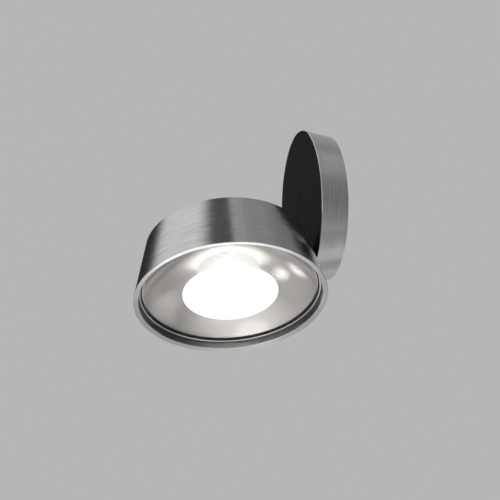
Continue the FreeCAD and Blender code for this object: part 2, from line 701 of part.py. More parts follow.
def heat_sink():
    """Cast plate with fins at the back, posts for the cover and a gap for the hinge."""
    plate_gap = HEAD_WALL + SINK_EDGE_GAP
    plate = turned([
        (0, SINK_BACK),
        (cone(SINK_BACK) - plate_gap, SINK_BACK),
        (cone(SINK_FRONT) - plate_gap, SINK_FRONT),
        (0, SINK_FRONT),
    ])
    fin_back = COVER_FRONT + FIN_COVER_GAP
    fin_radius = cone(fin_back) - HEAD_WALL - FIN_EDGE_GAP
    fins = []
    for x in fin_places():
        if abs(x) + FIN_THICKNESS / 2 >= fin_radius:
            continue
        reach = chord(fin_radius, abs(x) + FIN_THICKNESS / 2)
        fins.append(block(x - FIN_THICKNESS / 2, x + FIN_THICKNESS / 2, -reach, reach,
                          fin_back, SINK_BACK))
    fins = Part.makeCompound(fins)
    foot_room = FOOT_END + 2 * LOOSE_CLEARANCE
    room = block(-foot_room, foot_room, -FAR,
                 BRACKET_BACK + BRACKET_FOOT_WIDTH + 2 * LOOSE_CLEARANCE, fin_back, SINK_BACK)
    fins = fins.cut(room)
    posts = [rod(x, z, POST_RADIUS, COVER_FRONT, SINK_BACK) for x, z in post_places()]
    sink = fuse_all(plate, fins.Solids + posts)
    gap = CHEEK_END + LOOSE_CLEARANCE
    opening = block(-gap, gap, -FAR, BRACKET_BACK + FITTING_CLEARANCE, SINK_BACK, SINK_FRONT)
    ends = gap + SPRING_WASHER_THICKNESS + PIN_NUT_THICKNESS
    pin_room = block(-ends, ends, -FAR, FOOT_BOTTOM, SINK_BACK, SINK_FRONT)
    tools = [opening, pin_room] + cover_screw_holes(0.0) + bracket_screws() + holder_screws()
    return cut_all(sink, tools)


def led_board():
    board = ring(0, LED_BOARD_RADIUS, SINK_FRONT, LED_FRONT)
    return cut_all(board, holder_screws())


def led_emitter():
    return ring(0, EMITTER_RADIUS, LED_FRONT, LED_FRONT + EMITTER_THICKNESS)


def holder_screw_places():
    return [polar(HOLDER_SCREW_RADIUS, angle) for angle in (0.0, 180.0)]


def holder_screws():
    tip = SINK_FRONT - SINK_PLATE_THICKNESS / 2
    seat = HOLDER_FRONT - SCREW_HEAD_THICKNESS
    return [pan_screw(x, z, seat, tip) for x, z in holder_screw_places()]


def led_holder():
    """Plastic ring that clamps the emitter's board and carries the reflector's throat."""
    holder = turned([
        (EMITTER_RADIUS + FITTING_CLEARANCE, LED_FRONT),
        (REFLECTOR_THROAT_RADIUS, LED_FRONT),
        (REFLECTOR_THROAT_RADIUS, HOLDER_FRONT),
        (EMITTER_RADIUS + HOLDER_THICKNESS, HOLDER_FRONT),
    ])
    return cut_all(holder, holder_screws())


def bowl_edge():
    """Three points of the bowl's inner side: at the throat, halfway and at the flange."""
    throat = V(REFLECTOR_THROAT_RADIUS + FITTING_CLEARANCE, -HOLDER_FRONT, 0)
    mouth = V(LEDGE_BORE - FITTING_CLEARANCE, -SEAL_BACK, 0)
    across = (mouth - throat).normalize()
    belly = (throat + mouth) * 0.5 + V(-across.y, across.x, 0) * REFLECTOR_SAG
    return throat, belly, mouth


def reflector():
    """Thin spun bowl from the throat at the light source out to a flange on the ledge."""
    throat, belly, mouth = bowl_edge()
    inner = Part.Arc(throat, belly, mouth).toShape()
    outer_throat = throat + V(0, REFLECTOR_THICKNESS, 0)
    outer_mouth = V(mouth.x, -LEDGE, 0)
    outer = Part.Arc(outer_throat, belly + V(0, REFLECTOR_THICKNESS, 0), outer_mouth).toShape()
    rim = BORE_RADIUS - FITTING_CLEARANCE
    flange = Part.makePolygon([mouth, V(rim, -SEAL_BACK, 0), V(rim, -LEDGE, 0), outer_mouth])
    throat_edge = Part.makeLine(outer_throat, throat)
    wire = Part.Wire(Part.__sortEdges__([inner, outer, throat_edge] + flange.Edges))
    return Part.Face(wire).revolve(ORIGIN, FORWARD, 360.0)


def glass_seal():
    """Dark rubber seal under and round the edge of the glass."""
    return turned([
        (SEAL_BORE, SEAL_BACK),
        (RETAINER_BORE, SEAL_BACK),
        (RETAINER_BORE, GLASS_FRONT),
        (GLASS_RADIUS, GLASS_FRONT),
        (GLASS_RADIUS, GLASS_BACK),
        (SEAL_BORE, GLASS_BACK),
    ])


def front_glass():
    return ring(0, GLASS_RADIUS, GLASS_BACK, GLASS_FRONT)


def frosted_disc():
    """Frosted layer on the middle of the glass."""
    return ring(0, FROST_RADIUS, GLASS_FRONT, GLASS_FRONT + FROST_THICKNESS)


def retaining_ring():
    """Bright ring with a round front, pressed into the bore, which holds seal and glass."""
    shoulder = RETAINER_FRONT - RETAINER_CROWN
    inside = V(RETAINER_BORE, -shoulder, 0)
    top = V((RETAINER_BORE + BORE_RADIUS) / 2, -RETAINER_FRONT, 0)
    outside = V(BORE_RADIUS, -shoulder, 0)
    crown = Part.Arc(inside, top, outside).toShape()
    foot = [outside, V(BORE_RADIUS, -SEAL_BACK, 0), V(RETAINER_BORE, -SEAL_BACK, 0), inside]
    wire = Part.Wire(Part.__sortEdges__([crown] + Part.makePolygon(foot).Edges))
    return Part.Face(wire).revolve(ORIGIN, FORWARD, 360.0)


def bracket_screw_places():
    side = CHEEK_END + BRACKET_FOOT_LENGTH / 2
    middle = (FOOT_BOTTOM + FOOT_TOP) / 2
    return [(-side, middle), (side, middle), (0, BRACKET_BACK + BRACKET_FOOT_WIDTH / 2)]


def bracket_screws():
    tip = SINK_FRONT - SINK_PLATE_THICKNESS / 4
    return [pan_screw(x, z, FOOT_BACK, tip) for x, z in bracket_screw_places()]


def hinge_bracket():
    """Steel bracket on the heat sink, with a cheek on each side of the hinge lug."""
    back = HINGE_DEPTH - CHEEK_RADIUS
    front = HINGE_DEPTH + CHEEK_RADIUS
    pieces = [block(-CHEEK_END, CHEEK_END, BRACKET_FRONT, BRACKET_BACK, back, front)]
    for side in (-1, 1):
        left, right = sorted((side * CHEEK_START, side * CHEEK_END))
        pieces.append(block(left, right, -HINGE_OFFSET, BRACKET_BACK, back, front))
        pieces.append(pin_rod(CHEEK_RADIUS, left, right))
        left, right = sorted((side * CHEEK_END, side * FOOT_END))
        pieces.append(block(left, right, FOOT_BOTTOM, FOOT_TOP, FOOT_BACK, SINK_BACK))
    middle = BRACKET_FOOT_WIDTH / 2 + BRACKET_WEB
    pieces.append(block(-middle, middle, BRACKET_BACK, BRACKET_BACK + BRACKET_FOOT_WIDTH,
                        FOOT_BACK, SINK_BACK))
    bracket = fuse_all(pieces[0], pieces[1:])
    wires = Part.makeCylinder(WIRE_CHANNEL_WIDTH / 2, BRACKET_WEB,
                              V(0, -back - WIRE_CHANNEL_WIDTH, BRACKET_FRONT), V(0, 0, 1))
    bore = pin_rod(HINGE_PIN_RADIUS, -CHEEK_END, CHEEK_END)
    return cut_all(bracket, [wires, bore] + bracket_screws())


def hinge_pin():
    """Pin through both cheeks and the lug, headed at one end and threaded at the other."""
    end = CHEEK_END + SPRING_WASHER_THICKNESS + PIN_NUT_THICKNESS
    head = pin_rod(PIN_HEAD_RADIUS, -CHEEK_END - PIN_HEAD_THICKNESS, -CHEEK_END)
    return head.fuse(pin_rod(HINGE_PIN_RADIUS, -CHEEK_END, end)).removeSplitter()


def hinge_washers():
    """Friction washers between the lug and the cheeks."""
    washers = []
    for side in (-1, 1):
        left, right = sorted((side * WASHER_START, side * CHEEK_START))
        hole = pin_rod(HINGE_PIN_RADIUS, left, right)
        washers.append(pin_rod(CHEEK_RADIUS, left, right).cut(hole))
    return washers


def hinge_spring_washer():
    end = CHEEK_END + SPRING_WASHER_THICKNESS
    hole = pin_rod(HINGE_PIN_RADIUS, CHEEK_END, end)
    return pin_rod(PIN_NUT_RADIUS, CHEEK_END, end).cut(hole)


def hinge_nut():
    start = CHEEK_END + SPRING_WASHER_THICKNESS
    nut = prism(6, PIN_NUT_RADIUS, 0, 0, 0, PIN_NUT_THICKNESS)
    nut.rotate(ORIGIN, V(0, 0, 1), 90.0)
    nut.translate(V(start, -HINGE_DEPTH, -HINGE_OFFSET))
    return nut.cut(pin_rod(HINGE_PIN_RADIUS, start, start + PIN_NUT_THICKNESS))


def fixed(shape):
    return shape


def swivelled(shape):
    """Turn a piece about the base's axis to its place in use."""
    shape.rotate(ORIGIN, FORWARD, SWIVEL_IN_USE)
    return shape


def opened(shape):
    """Open a piece of the head about the hinge pin, then turn it with the turntable."""
    shape.rotate(V(0, -HINGE_DEPTH, -HINGE_OFFSET), V(1, 0, 0), TILT_IN_USE)
    return swivelled(shape)


def write(name, made, place):
    """Write one piece, or a group of like pieces, in its place."""
    shape = Part.makeCompound(made) if isinstance(made, list) else made
    place(shape.copy()).exportStep(os.path.join("parts", name + ".step"))


BASE = {
    "wall_plate": wall_plate,
    "cable_grommet": cable_grommet,
    "terminal_block": terminal_block,
    "terminal_screws": terminal_screws,
    "base_shell": base_shell,
    "base_grub_screws": grub_screws,
    "spindle_bush": spindle_bush,
    "stop_pin": stop_pin,
    "driver_board": driver_board,
    "driver_components": driver_components,
    "driver_screws": driver_screws,
}
TURNTABLE = {
    "front_disc": front_disc,
    "hinge_arm": hinge_arm,
    "arm_screws": arm_screws,
    "spindle": spindle,
    "spindle_screws": flange_screws,
    "stop_washer": stop_washer,
    "wave_washer": wave_washer,
    "spindle_nut": spindle_nut,
}
HEAD = {
    "head_shell": head_shell,
    "back_cover": back_cover,
    "back_cover_screws": cover_screws,
    "heat_sink": heat_sink,
    "led_board": led_board,
    "led_emitter": led_emitter,
    "led_holder": led_holder,
    "led_holder_screws": holder_screws,
    "reflector": reflector,
    "glass_seal": glass_seal,
    "front_glass": front_glass,
    "frosted_disc": frosted_disc,
    "retaining_ring": retaining_ring,
    "hinge_bracket": hinge_bracket,
    "bracket_screws": bracket_screws,
    "hinge_pin": hinge_pin,
    "hinge_washers": hinge_washers,
    "hinge_spring_washer": hinge_spring_washer,
    "hinge_nut": hinge_nut,
}

os.makedirs("parts", exist_ok=True)
for pieces, place in ((BASE, fixed), (TURNTABLE, swivelled), (HEAD, opened)):
    for name, make in pieces.items():
        write(name, make(), place)
print("hinge pin", round(HINGE_DEPTH, 3), "in front of the wall,",
      round(HINGE_OFFSET, 3), "below the axis")
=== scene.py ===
import json
import math

import bpy
import numpy as np
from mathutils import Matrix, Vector

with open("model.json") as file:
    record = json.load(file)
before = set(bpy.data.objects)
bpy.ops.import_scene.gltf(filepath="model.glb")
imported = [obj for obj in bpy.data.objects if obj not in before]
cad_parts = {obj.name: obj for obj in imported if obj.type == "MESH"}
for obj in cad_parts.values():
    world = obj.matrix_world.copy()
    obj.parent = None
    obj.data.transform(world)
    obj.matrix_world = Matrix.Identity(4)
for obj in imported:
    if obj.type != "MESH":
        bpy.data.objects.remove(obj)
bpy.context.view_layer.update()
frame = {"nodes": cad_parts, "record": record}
NODES = frame["nodes"]

# Ways in the frame: x to the right, y back into the wall, z up
RIGHT = (1.0, 0.0, 0.0)
BACK = (0.0, 1.0, 0.0)
UP = (0.0, 0.0, 1.0)
ORIGIN = (0.0, 0.0, 0.0)
BASE_AXIS = (0.0, -1.0, 0.0)

# How far the two joints are turned in the photo's pose
SWIVEL_IN_USE = math.radians(36.4)
TILT_IN_USE = math.radians(87.0)

# Sizes of the closed lamp in metres: depths count from the wall, radii from the axis
HINGE_DEPTH = 0.0259296
HINGE_OFFSET = 0.0405679
RIM_RADIUS = 0.055
LAMP_DEPTH = 0.0543
HEAD_BACK = 0.0174
TAPER = math.tan(math.radians(12.1))
GLASS_EDGE = 0.05005

# The frosted layer: its middle depth, the radii between which its glow fades, and the same
# two radii on its back
FROST_MIDDLE = 0.049275
FROST_FULL = 0.0245
FROST_EDGE = 0.0272
BACK_FULL = 0.012
BACK_FADED = 0.024

# The paint of the head's inside starts this far under its outside, and ends short of its edges
WALL_SKIN = 0.0015
EDGE = 0.0002

# The driver's choke, its two capacitors and its transformer: x and z of their middles, then
# radii, the depths where wire and cans end, the choke's turns, and the transformer's tape
CHOKE = (0.02369, -0.01851)
FIRST_CAN = (0.01028, -0.02825)
SECOND_CAN = (0.01724, -0.02462)
TRANSFORMER = (-0.0193, -0.023)
CHOKE_RADIUS = 0.0049
CAN_RADIUS = 0.0039
CAN_END = -0.0026
WIRE_START = -0.0027
WIRE_END = -0.0066
WIRE_TURNS = 30.0
TAPE_HALF_WIDTH = 0.0042
COSINE_OF_TAPE = 0.766
SINE_OF_TAPE = 0.643

# Levels of grey: brushed aluminium, the head's inside and the paper itself
ALUMINIUM = 0.72
INSIDE = 0.17
PAPER_SHEET = 0.86

# The pale grey of the floor and the room, as the camera sees it
PAPER = 0.468

# Most of a noise lies between these two values
NOISE_LOW = 0.3
NOISE_HIGH = 0.7

# On a face across the axis, rings are this much finer than along the side
FACE_SHARE = 1.7


class Value:
    """A node's output socket that adds Math nodes when it is used in sums and products."""

    def __init__(self, paint, socket):
        self.paint = paint
        self.socket = socket

    def _math(self, operation, *values):
        return self.paint.node("Math", {"operation": operation}, dict(enumerate(values)))

    def __add__(self, other):
        return self._math("ADD", self, other)

    def __sub__(self, other):
        return self._math("SUBTRACT", self, other)

    def __rsub__(self, other):
        return self._math("SUBTRACT", other, self)

    def __mul__(self, other):
        return self._math("MULTIPLY", self, other)

    def __lt__(self, other):
        return self._math("LESS_THAN", self, other)

    def __gt__(self, other):
        return self._math("GREATER_THAN", self, other)

    def __abs__(self):
        return self._math("ABSOLUTE", self)

    def sine(self):
        return self._math("SINE", self)

    def root(self):
        return self._math("SQRT", self)

    def whole(self):
        return self._math("FLOOR", self)

    def share(self):
        return self._math("FRACT", self)

    def largest(self, other):
        return self._math("MAXIMUM", self, other)

    def angle_from(self, other):
        return self._math("ARCTAN2", self, other)


class Paint:
    """A material, or the world, that is built node by node."""

    def __init__(self, name, kinds=bpy.data.materials, output="ShaderNodeOutputMaterial"):
        self.owner = kinds.new(name)
        self.owner.use_nodes = True
        self.tree = self.owner.node_tree
        self.tree.nodes.clear()
        self.output = self.tree.nodes.new(output)

    def node(self, kind, settings=None, inputs=None, out=0):
        """Add a node: its settings first, then a value or a link for each named socket."""
        made = self.tree.nodes.new("ShaderNode" + kind)
        for name, value in (settings or {}).items():
            setattr(made, name, value)
        for name, value in (inputs or {}).items():
            if isinstance(value, Value):
                self.tree.links.new(value.socket, made.inputs[name])
            else:
                made.inputs[name].default_value = value
        return Value(self, made.outputs[out])

    def place(self):
        """Object coordinates, which are the lamp's own, in metres."""
        return self.node("TexCoord", out="Object")

    def ray(self, kind):
        """One for rays of a kind, and nought for all others."""
        return self.node("LightPath", out=f"Is {kind} Ray")

    def vector(self, operation, a, b, out=0):
        return self.node("VectorMath", {"operation": operation}, {0: a, 1: b}, out)

    def along(self, vector, direction):
        """How far a vector goes in a direction."""
        return self.vector("DOT_PRODUCT", vector, tuple(direction), "Value")

    def scaled(self, vector, factor):
        return self.node("VectorMath", {"operation": "SCALE"}, {0: vector, "Scale": factor})

    def unit(self, vector):
        return self.vector("NORMALIZE", vector, ORIGIN)

    def joined(self, x, y, z):
        return self.node("CombineXYZ", None, {0: x, 1: y, 2: z})

    def noise(self, vector, scale, detail=2.0, roughness=0.5):
        inputs = {"Vector": vector, "Scale": scale, "Detail": detail, "Roughness": roughness}
        return self.node("TexNoise", {"noise_dimensions": "3D"}, inputs)

    def cells(self, vector, scale):
        """Distance to the nearest of many points strewn at random."""
        inputs = {"Vector": vector, "Scale": scale}
        return self.node("TexVoronoi", {"feature": "F1"}, inputs, "Distance")

    def fit(self, value, low, high, to_low=0.0, to_high=1.0):
        """Straight from one range to another, held at its ends."""
        inputs = {"Value": value, "From Min": low, "From Max": high,
                  "To Min": to_low, "To Max": to_high}
        return self.node("MapRange", {"clamp": True}, inputs)

    def spread(self, noise, low, high):
        """The usual range of a noise, fitted to another range."""
        return self.fit(noise, NOISE_LOW, NOISE_HIGH, low, high)

    def smooth(self, value, low, high, to_low=0.0, to_high=1.0):
        """As fit, but eased at both ends."""
        inputs = {"Value": value, "From Min": low, "From Max": high,
                  "To Min": to_low, "To Max": to_high}
        return self.node("MapRange", {"interpolation_type": "SMOOTHSTEP"}, inputs)

    def colour(self, share, low, high):
        """Two colours mixed; 6 and 7 are the Mix node's sockets for colours, 2 its output."""
        inputs = {"Factor": share, 6: low, 7: high}
        return self.node("Mix", {"data_type": "RGBA"}, inputs, 2)

    def bump(self, height, distance, strength=1.0):
        inputs = {"Height": height, "Distance": distance, "Strength": strength}
        return self.node("Bump", None, inputs)

    def mixed(self, share, first, second):
        """The first shader where share is nought, the second where it is one."""
        return self.node("MixShader", None, {0: share, 1: first, 2: second})

    def finish(self, shader):
        self.tree.links.new(shader.socket, self.output.inputs["Surface"])
        return self.owner


class Turning:
    """Where a point of a turned piece lies: along its axis, out from it and round it."""

    def __init__(self, paint, centre, axis):
        self.paint = paint
        axis = np.array(axis) / np.linalg.norm(axis)
        # any way that doesn't lie along the axis gives the two ways across it
        side = np.cross(axis, BACK if abs(axis[1]) < 0.9 else RIGHT)
        side /= np.linalg.norm(side)
        other = np.cross(axis, side)
        self.local = paint.vector("SUBTRACT", paint.place(), tuple(centre))
        self.axis = tuple(axis)
        self.along = paint.along(self.local, axis)
        across = paint.along(self.local, side)
        up = paint.along(self.local, other)
        self.radius = (across * across + up * up).root()
        self.angle = up.angle_from(across)

    def across(self):
        """Across the turning marks, on the sides of the piece and on its faces alike."""
        return self.along + self.radius * FACE_SHARE

    def rings(self, across, fine, turn, start=0.0, detail=1.0, roughness=0.5):
        """Noise drawn out round the axis: fine is per metre across, turn is per radian."""
        place = self.paint.joined(across * fine, self.angle * turn, start)
        return self.paint.noise(place, 1.0, detail, roughness)

    def grooved(self, slope):
        """The surface's normal, leant across the turning direction by a slope.

        The turning direction is axis x place. The lean is along normal x turning direction,
        so it goes along a side and outwards on a face: normal + lean * slope, made unit.
        """
        paint = self.paint
        turning = paint.vector("CROSS_PRODUCT", self.axis, self.local)
        settings = {"vector_type": "VECTOR", "convert_from": "OBJECT", "convert_to": "WORLD"}
        turning = paint.unit(paint.node("VectorTransform", settings, {"Vector": turning}))
        normal = paint.node("NewGeometry", out="Normal")
        lean = paint.vector("CROSS_PRODUCT", normal, turning)
        return paint.unit(paint.vector("ADD", normal, paint.scaled(lean, slope)))


def grey(level, warm=0.0):
    return (level * (1 + warm), level, level * (1 - warm), 1.0)


def head_place(depth):
    """A point on the head's axis at a depth of the closed lamp, moved as the head is in use."""
    local = np.array([0.0, -depth, 0.0]) - np.array([0.0, -HINGE_DEPTH, -HINGE_OFFSET])
    c, s = math.cos(TILT_IN_USE), math.sin(TILT_IN_USE)
    y = c * local[1] - s * local[2] - HINGE_DEPTH
    z = s * local[1] + c * local[2] - HINGE_OFFSET
    c, s = math.cos(SWIVEL_IN_USE), math.sin(SWIVEL_IN_USE)
    return np.array([-s * z, y, c * z])


HEAD_CENTRE = head_place(0.0)
HEAD_AXIS = head_place(1.0) - head_place(0.0)


def brushed_aluminium(name, centre, axis, tone, spread):
    """Aluminium brushed round an axis: fine grooves that run round it, with long streaks.

    The streaks differ mostly in how rough they are, so they show in the dark reflections.
    """
    paint = Paint(name)
    at = Turning(paint, centre, axis)
    across = at.across()
    grooves = at.rings(across, fine=7000.0, turn=1.1, roughness=0.6)
    streaks = at.rings(across, fine=1700.0, turn=2.6, start=4.0, detail=2.0, roughness=0.65)
    bands = at.rings(across, fine=260.0, turn=1.3, start=9.0, detail=2.0)
    shade = paint.fit(streaks + bands * 0.15, 0.38, 0.77)
    dark, light = grey((ALUMINIUM - spread) * tone), grey((ALUMINIUM + spread) * tone)
    # the bore and the inside are left dark, as they come from the anodising bath
    outer = RIM_RADIUS - (LAMP_DEPTH - at.along) * TAPER
    rim_face = LAMP_DEPTH - (RIM_RADIUS - at.radius) * TAPER
    inside = ((at.radius < outer - WALL_SKIN) * (at.along < rim_face - EDGE)
              * (at.along > HEAD_BACK + EDGE))
    slope = ((grooves - 0.5) * 0.4 + (streaks - 0.5) * 0.08) * (1 - inside)
    roughness = paint.fit(streaks, 0.36, 0.66, 0.25, 0.07)
    shader = paint.node("BsdfPrincipled", None, {
        "Base Color": paint.colour(inside, paint.colour(shade, dark, light), grey(INSIDE, 0.01)),
        "Metallic": 1.0,
        "Roughness": roughness * (1 - inside) + inside * 0.28,
        "Normal": at.grooved(slope),
    })
    return paint.finish(shader)


def plain_metal(name, base, rough, metallic=1.0):
    """Metal or plastic with faint mottling and a fine surface."""
    paint = Paint(name)
    place = paint.place()
    mottle = paint.noise(place, 900.0, 3.0, 0.6)
    low = tuple(c * 0.86 for c in base[:3]) + (1.0,)
    high = tuple(min(1.0, c * 1.12) for c in base[:3]) + (1.0,)
    shader = paint.node("BsdfPrincipled", None, {
        "Base Color": paint.colour(mottle, low, high),
        "Metallic": metallic,
        "Roughness": paint.spread(mottle, rough * 0.85, rough * 1.15),
        "Normal": paint.bump(paint.noise(place, 3600.0), 0.00001),
    })
    return paint.finish(shader)


def turned_metal(name, centre, axis, dull, bright, rough, slope):
    """Metal turned on a lathe: fine rings round its axis, and patches of tarnish."""
    paint = Paint(name)
    at = Turning(paint, centre, axis)
    rings = at.rings(at.across(), fine=5000.0, turn=0.3, detail=2.0, roughness=0.6)
    tarnish = paint.noise(paint.place(), 260.0, 3.0, 0.6)
    shader = paint.node("BsdfPrincipled", None, {
        "Base Color": paint.colour(paint.fit(tarnish + rings * 0.2, 0.4, 0.8), dull, bright),
        "Metallic": 1.0,
        "Roughness": paint.fit(tarnish, 0.35, 0.65, rough * 1.25, rough * 0.85),
        "Normal": at.grooved((rings - 0.5) * slope),
    })
    return paint.finish(shader)


def zinc_plate(name):
    """Zinc plated steel: warm and cool patches, rolling lines and a few dull spots."""
    paint = Paint(name)
    place = paint.place()
    patch = paint.noise(place, 150.0, 3.0, 0.6)
    drawn_out = paint.vector("MULTIPLY", place, (260.0, 3000.0, 5200.0))
    rolled = paint.noise(drawn_out, 1.0, 2.0, 0.6)
    spots = paint.smooth(paint.noise(place, 520.0, 4.0, 0.7), 0.60, 0.70)
    cool, warm = (0.48, 0.51, 0.55, 1.0), (0.62, 0.59, 0.52, 1.0)
    tint = paint.colour(paint.fit(patch, 0.38, 0.62), cool, warm)
    shader = paint.node("BsdfPrincipled", None, {
        "Base Color": paint.colour(spots * 0.6, tint, (0.33, 0.33, 0.32, 1.0)),
        "Metallic": 1.0,
        "Roughness": paint.spread(rolled, 0.24, 0.36) + spots * 0.2,
        "Normal": paint.bump(rolled + spots * 0.6, 0.000006),
    })
    return paint.finish(shader)


def cast_metal(name):
    """Pressure cast aluminium: a rough skin with flow marks and small pits."""
    paint = Paint(name)
    place = paint.place()
    skin = paint.noise(place, 1900.0, 3.0, 0.65)
    swirl = paint.node("TexNoise", None, {"Vector": place, "Scale": 60.0}, "Color")
    flow = paint.noise(paint.vector("ADD", place, paint.scaled(swirl, 0.02)), 120.0, 3.0)
    pits = paint.smooth(paint.cells(place, 700.0), 0.22, 0.08)
    marks = paint.fit(flow, 0.35, 0.65) * (1 - pits * 0.8)
    shader = paint.node("BsdfPrincipled", None, {
        "Base Color": paint.colour(marks, grey(0.34), grey(0.56, 0.01)),
        "Metallic": 1.0,
        "Roughness": paint.spread(skin, 0.42, 0.60),
        "Normal": paint.bump(skin - pits, 0.00005),
    })
    return paint.finish(shader)


def rubber(name):
    """Black rubber with a fine grain, greyed by dust in patches."""
    paint = Paint(name)
    place = paint.place()
    grain = paint.noise(place, 4200.0, 2.0, 0.6)
    dust = paint.fit(paint.noise(place, 240.0, 4.0, 0.65), 0.50, 0.75)
    shader = paint.node("BsdfPrincipled", None, {
        "Base Color": paint.colour(dust, grey(0.012), (0.035, 0.034, 0.032, 1.0)),
        "Roughness": paint.spread(grain, 0.50, 0.72),
        "Normal": paint.bump(grain, 0.00002),
    })
    return paint.finish(shader)


def printed_board(name, centre, axis, mask, copper):
    """Printed board: tracks under the lacquer that run round and out, with tinned pads."""
    paint = Paint(name)
    at = Turning(paint, centre, axis)
    # rings 1/700 m wide and spokes of 1/14 radian, of which a noise picks some for tracks
    ring = at.radius * 700.0
    spoke = at.angle * 14.0
    lot = paint.joined(ring.whole() * 7.3, (spoke * 0.6).whole() * 3.1, 0.5)
    round_track = (ring.share() < 0.45) * (paint.noise(lot, 1.0, 0.0) > 0.47)
    lot = paint.joined((ring * 0.3).whole() * 5.7, spoke.whole() * 9.1, 7.5)
    out_track = (spoke.share() < 0.3) * (paint.noise(lot, 1.0, 0.0) > 0.52)
    tracks = round_track.largest(out_track)
    pads = paint.cells(paint.place(), 330.0) < 0.17
    grain = paint.noise(paint.place(), 3000.0, 2.0)
    lacquer = paint.colour(grain * 0.3, paint.colour(tracks, mask, copper), grey(0.02))
    shader = paint.node("BsdfPrincipled", None, {
        "Base Color": paint.colour(pads, lacquer, grey(0.72)),
        "Metallic": pads,
        "Roughness": paint.spread(grain, 0.28, 0.36),
        "Normal": paint.bump(tracks + pads + grain * 0.1, 0.00003),
    })
    return paint.finish(shader)


def driver_parts(name):
    """Taped black transformer, wound choke and two sleeved capacitors, told apart by place."""
    paint = Paint(name)
    place = paint.place()
    x = paint.along(place, RIGHT)
    y = paint.along(place, BACK)
    z = paint.along(place, UP)

    def from_axis(x0, z0):
        return ((x - x0) * (x - x0) + (z - z0) * (z - z0)).root()

    choke = from_axis(*CHOKE) < CHOKE_RADIUS
    turns = ((z - CHOKE[1]).angle_from(x - CHOKE[0]) * WIRE_TURNS).sine()
    wire = choke * (y < WIRE_START) * (y > WIRE_END)
    can = (from_axis(*FIRST_CAN) < CAN_RADIUS).largest(from_axis(*SECOND_CAN) < CAN_RADIUS)
    end = can * (y > CAN_END)
    # the tape runs over the middle of the transformer, which stands at 40 degrees
    off_middle = (x - TRANSFORMER[0]) * COSINE_OF_TAPE - (z - TRANSFORMER[1]) * SINE_OF_TAPE
    tape = (abs(off_middle) < TAPE_HALF_WIDTH) * (1 - choke) * (1 - can)
    grain = paint.noise(place, 2600.0, 3.0, 0.6)
    base = paint.colour(paint.spread(grain, 0.0, 1.0), grey(0.022), grey(0.045))
    base = paint.colour(tape, base, (0.62, 0.43, 0.06, 1.0))
    base = paint.colour(can, base, (0.015, 0.035, 0.075, 1.0))
    base = paint.colour(end, base, grey(0.66))
    base = paint.colour(wire, base, (0.62, 0.27, 0.12, 1.0))
    shader = paint.node("BsdfPrincipled", None, {
        "Base Color": base,
        "Metallic": wire.largest(end),
        "Roughness": paint.spread(grain, 0.38, 0.5) - can * 0.12,
        "Normal": paint.bump(grain * 0.1 + turns * wire, 0.0001),
    })
    return paint.finish(shader)


def powder_coat(name):
    """Matt black powder coat with a fine grain."""
    paint = Paint(name)
    place = paint.place()
    grain = paint.noise(place, 5200.0, 2.0, 0.6)
    cloud = paint.noise(place, 60.0, 2.0)
    dark, light = (0.003, 0.003, 0.0038, 1.0), (0.0055, 0.0055, 0.0065, 1.0)
    shader = paint.node("BsdfPrincipled", None, {
        "Base Color": paint.colour(cloud, dark, light),
        "Metallic": 0.0,
        "Roughness": paint.spread(grain, 0.48, 0.62),
        "Normal": paint.bump(grain, 0.00003, 0.6),
        "Specular IOR Level": 0.3,
    })
    return paint.finish(shader)


def clear_glass(name):
    """Clear glass that lets light straight through, with a faint reflection."""
    paint = Paint(name)
    glass = paint.node("BsdfPrincipled", None, {
        "Base Color": (0.985, 0.985, 0.98, 1.0),
        "Roughness": 0.02,
        "IOR": 1.5,
        "Transmission Weight": 1.0,
    })
    clear = paint.node("BsdfTransparent", None, {"Color": (0.97, 0.97, 0.965, 1.0)})
    shader = paint.mixed(paint.ray("Shadow"), glass, clear)
    # the ground edge sits dark in the seal
    at = Turning(paint, HEAD_CENTRE, HEAD_AXIS)
    ground = paint.node("BsdfDiffuse", None, {"Color": grey(0.02)})
    return paint.finish(paint.mixed(at.radius > GLASS_EDGE, shader, ground))


def frosted_layer(name):
    """Frosted layer that glows evenly in front, and on its back less towards the edge."""
    paint = Paint(name)
    at = Turning(paint, HEAD_CENTRE, HEAD_AXIS)
    grain = paint.noise(paint.place(), 2500.0, 2.0)
    edge = paint.smooth(at.radius, FROST_EDGE, FROST_FULL, 0.3, 1.0)
    fade = paint.smooth(at.radius, BACK_FULL, BACK_FADED, 0.0, 0.8)
    back = (at.along < FROST_MIDDLE) * fade
    glow = edge * (1 - back) * paint.fit(grain, 0.2, 0.8, 0.97, 1.0)
    dim, bright = (0.45, 0.45, 0.44, 1.0), (1.0, 0.995, 0.985, 1.0)
    shader = paint.node("BsdfPrincipled", None, {
        "Base Color": (0.8, 0.8, 0.79, 1.0),
        "Roughness": 0.5,
        "Emission Color": paint.colour(glow, dim, bright),
        "Emission Strength": 1.05,
    })
    return paint.finish(shader)


def emitter(name):
    """Light emitting layer behind the frosted disc."""
    paint = Paint(name)
    dots = paint.fit(paint.cells(paint.place(), 700.0), 0.1, 0.6, 1.0, 0.8)
    dim, bright = (0.8, 0.78, 0.72, 1.0), (1.0, 0.98, 0.94, 1.0)
    shader = paint.node("BsdfPrincipled", None, {
        "Base Color": (0.9, 0.75, 0.3, 1.0),
        "Roughness": 0.5,
        "Emission Color": paint.colour(dots, dim, bright),
        "Emission Strength": 12.0,
    })
    return paint.finish(shader)


